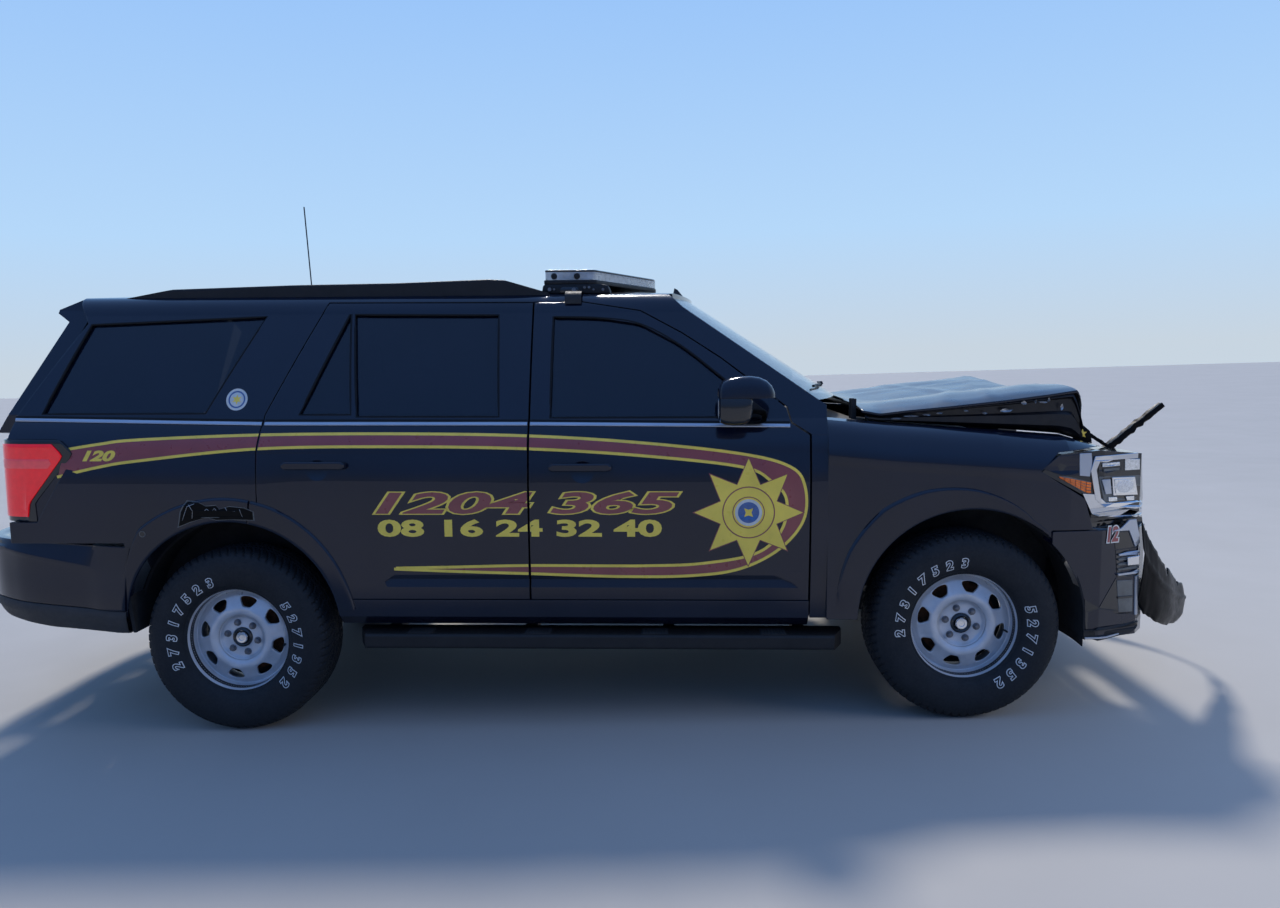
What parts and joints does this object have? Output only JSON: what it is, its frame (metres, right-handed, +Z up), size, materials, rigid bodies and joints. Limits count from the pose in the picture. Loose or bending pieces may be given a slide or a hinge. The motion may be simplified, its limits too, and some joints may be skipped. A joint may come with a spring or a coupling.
{
  "type": "police suv",
  "caption": "Full-size four-door police SUV with crash-damaged nose, buckled hood, roof light bar, steel wheels, opening doors, hood and liftgate.",
  "frame": {"origin": "on the ground, on the centreline, midway between the front and rear axles, which is also the middle of the bounding box", "axes": "+X forwards, +Y to the vehicle's left, +Z up"},
  "size_m": [5.6281, 2.316, 2.4308],
  "materials": {
    "navy_paint": "gloss",
    "tyre": "matte",
    "silver_wheel_paint": "satin",
    "dark_glass": "gloss",
    "clear_glass": "gloss",
    "lamp_plastic": "gloss",
    "black_plastic": "satin",
    "interior_plastic": "matte",
    "seat_fabric": "woven",
    "chassis_steel": "satin",
    "engine_alloy": "matte",
    "exhaust_steel": "matte"
  },
  "bodies": {
    "fixed_body": {"body_side_left": "navy_paint", "body_side_right": "navy_paint", "bumper_cover": "black_plastic", "chassis_frame": "chassis_steel", "cowl_and_firewall": "chassis_steel", "dashboard": "interior_plastic", "driveline": "chassis_steel", "engine": "engine_alloy", "exhaust": "exhaust_steel", "fender_left": "navy_paint", "fender_right": "navy_paint", "floor_pan": "chassis_steel", "front_bumper": "navy_paint", "front_seats": "seat_fabric", "front_structure": "navy_paint", "front_suspension": "chassis_steel", "fuel_tank": "black_plastic", "grille_remains": "black_plastic", "headlights": "lamp_plastic", "light_bar": "black_plastic", "light_bar_lens": "lamp_plastic", "quarter_windows": "dark_glass", "rear_bumper": "navy_paint", "rear_seats": "seat_fabric", "rear_suspension": "chassis_steel", "roof_antennas": "black_plastic", "roof_panel": "navy_paint", "roof_rails": "black_plastic", "running_boards": "black_plastic", "spare_wheel": "tyre", "tail_lights": "lamp_plastic", "wheel_liners": "black_plastic", "windshield": "clear_glass", "wipers": "black_plastic"},
    "front_right_door": {"front_door_right": "navy_paint", "front_door_glass_right": "dark_glass", "mirror_right": "black_plastic"},
    "front_left_door": {"front_door_left": "navy_paint", "front_door_glass_left": "dark_glass", "mirror_left": "black_plastic"},
    "rear_right_door": {"rear_door_right": "navy_paint", "rear_door_glass_right": "dark_glass"},
    "rear_left_door": {"rear_door_left": "navy_paint", "rear_door_glass_left": "dark_glass"},
    "hood_lid": {"hood": "navy_paint"},
    "rear_liftgate": {"liftgate": "navy_paint", "liftgate_glass": "dark_glass"},
    "right_knuckle": {"knuckle_front_right": "chassis_steel"},
    "left_knuckle": {"knuckle_front_left": "chassis_steel"},
    "front_right_wheel": {"tyre_front_right": "tyre", "wheel_front_right": "silver_wheel_paint"},
    "front_left_wheel": {"tyre_front_left": "tyre", "wheel_front_left": "silver_wheel_paint"},
    "rear_right_wheel": {"tyre_rear_right": "tyre", "wheel_rear_right": "silver_wheel_paint"},
    "rear_left_wheel": {"tyre_rear_left": "tyre", "wheel_rear_left": "silver_wheel_paint"},
    "driver_steering_wheel": {"steering_wheel": "interior_plastic"}
  },
  "joints": [
    {"name": "front_right_door_hinge", "type": "hinge", "parent": "fixed_body", "child": "front_right_door", "pos_m": [0.83298, -0.992, 0.88062], "axis": [0.0236, 0, 0.9997], "range_deg": [0, 68]},
    {"name": "front_left_door_hinge", "type": "hinge", "parent": "fixed_body", "child": "front_left_door", "pos_m": [0.83298, 0.992, 0.88062], "axis": [-0.0236, 0, -0.9997], "range_deg": [0, 68]},
    {"name": "rear_right_door_hinge", "type": "hinge", "parent": "fixed_body", "child": "rear_right_door", "pos_m": [-0.3257, -0.992, 0.90792], "axis": [0.0236, 0, 0.9997], "range_deg": [0, 68]},
    {"name": "rear_left_door_hinge", "type": "hinge", "parent": "fixed_body", "child": "rear_left_door", "pos_m": [-0.3257, 0.992, 0.90792], "axis": [-0.0236, 0, -0.9997], "range_deg": [0, 68]},
    {"name": "hood_hinge", "type": "hinge", "parent": "fixed_body", "child": "hood_lid", "pos_m": [1.1442, 0, 1.35342], "axis": [0, -1, 0], "range_deg": [0, 45]},
    {"name": "liftgate_hinge", "type": "hinge", "parent": "fixed_body", "child": "rear_liftgate", "pos_m": [-2.24787, 0, 1.89949], "axis": [0, 1, 0], "range_deg": [0, 80]},
    {"name": "steering_right", "type": "hinge", "parent": "fixed_body", "child": "right_knuckle", "pos_m": [1.556, -0.8, 0.4015], "axis": [0, 0, 1], "range_deg": [-32, 32]},
    {"name": "steering_left", "type": "hinge", "parent": "fixed_body", "child": "left_knuckle", "pos_m": [1.556, 0.8, 0.4015], "axis": [0, 0, 1], "range_deg": [-32, 32]},
    {"name": "front_right_wheel_spin", "type": "hinge", "parent": "right_knuckle", "child": "front_right_wheel", "pos_m": [1.556, -0.86, 0.4015], "axis": [0, 1, 0], "continuous": true},
    {"name": "front_left_wheel_spin", "type": "hinge", "parent": "left_knuckle", "child": "front_left_wheel", "pos_m": [1.556, 0.86, 0.4015], "axis": [0, 1, 0], "continuous": true},
    {"name": "rear_right_wheel_spin", "type": "hinge", "parent": "fixed_body", "child": "rear_right_wheel", "pos_m": [-1.556, -0.86, 0.4015], "axis": [0, 1, 0], "continuous": true},
    {"name": "rear_left_wheel_spin", "type": "hinge", "parent": "fixed_body", "child": "rear_left_wheel", "pos_m": [-1.556, 0.86, 0.4015], "axis": [0, 1, 0], "continuous": true},
    {"name": "steering_wheel_turn", "type": "hinge", "parent": "fixed_body", "child": "driver_steering_wheel", "pos_m": [0.4565, 0.4, 1.11956], "axis": [-0.9314, 0, 0.3639], "range_deg": [-480, 480]}
  ],
  "couplings": [
    {"joint": "steering_left", "follows": "steering_right", "ratio": 1},
    {"joint": "steering_wheel_turn", "follows": "steering_right", "ratio": 15}
  ]
}
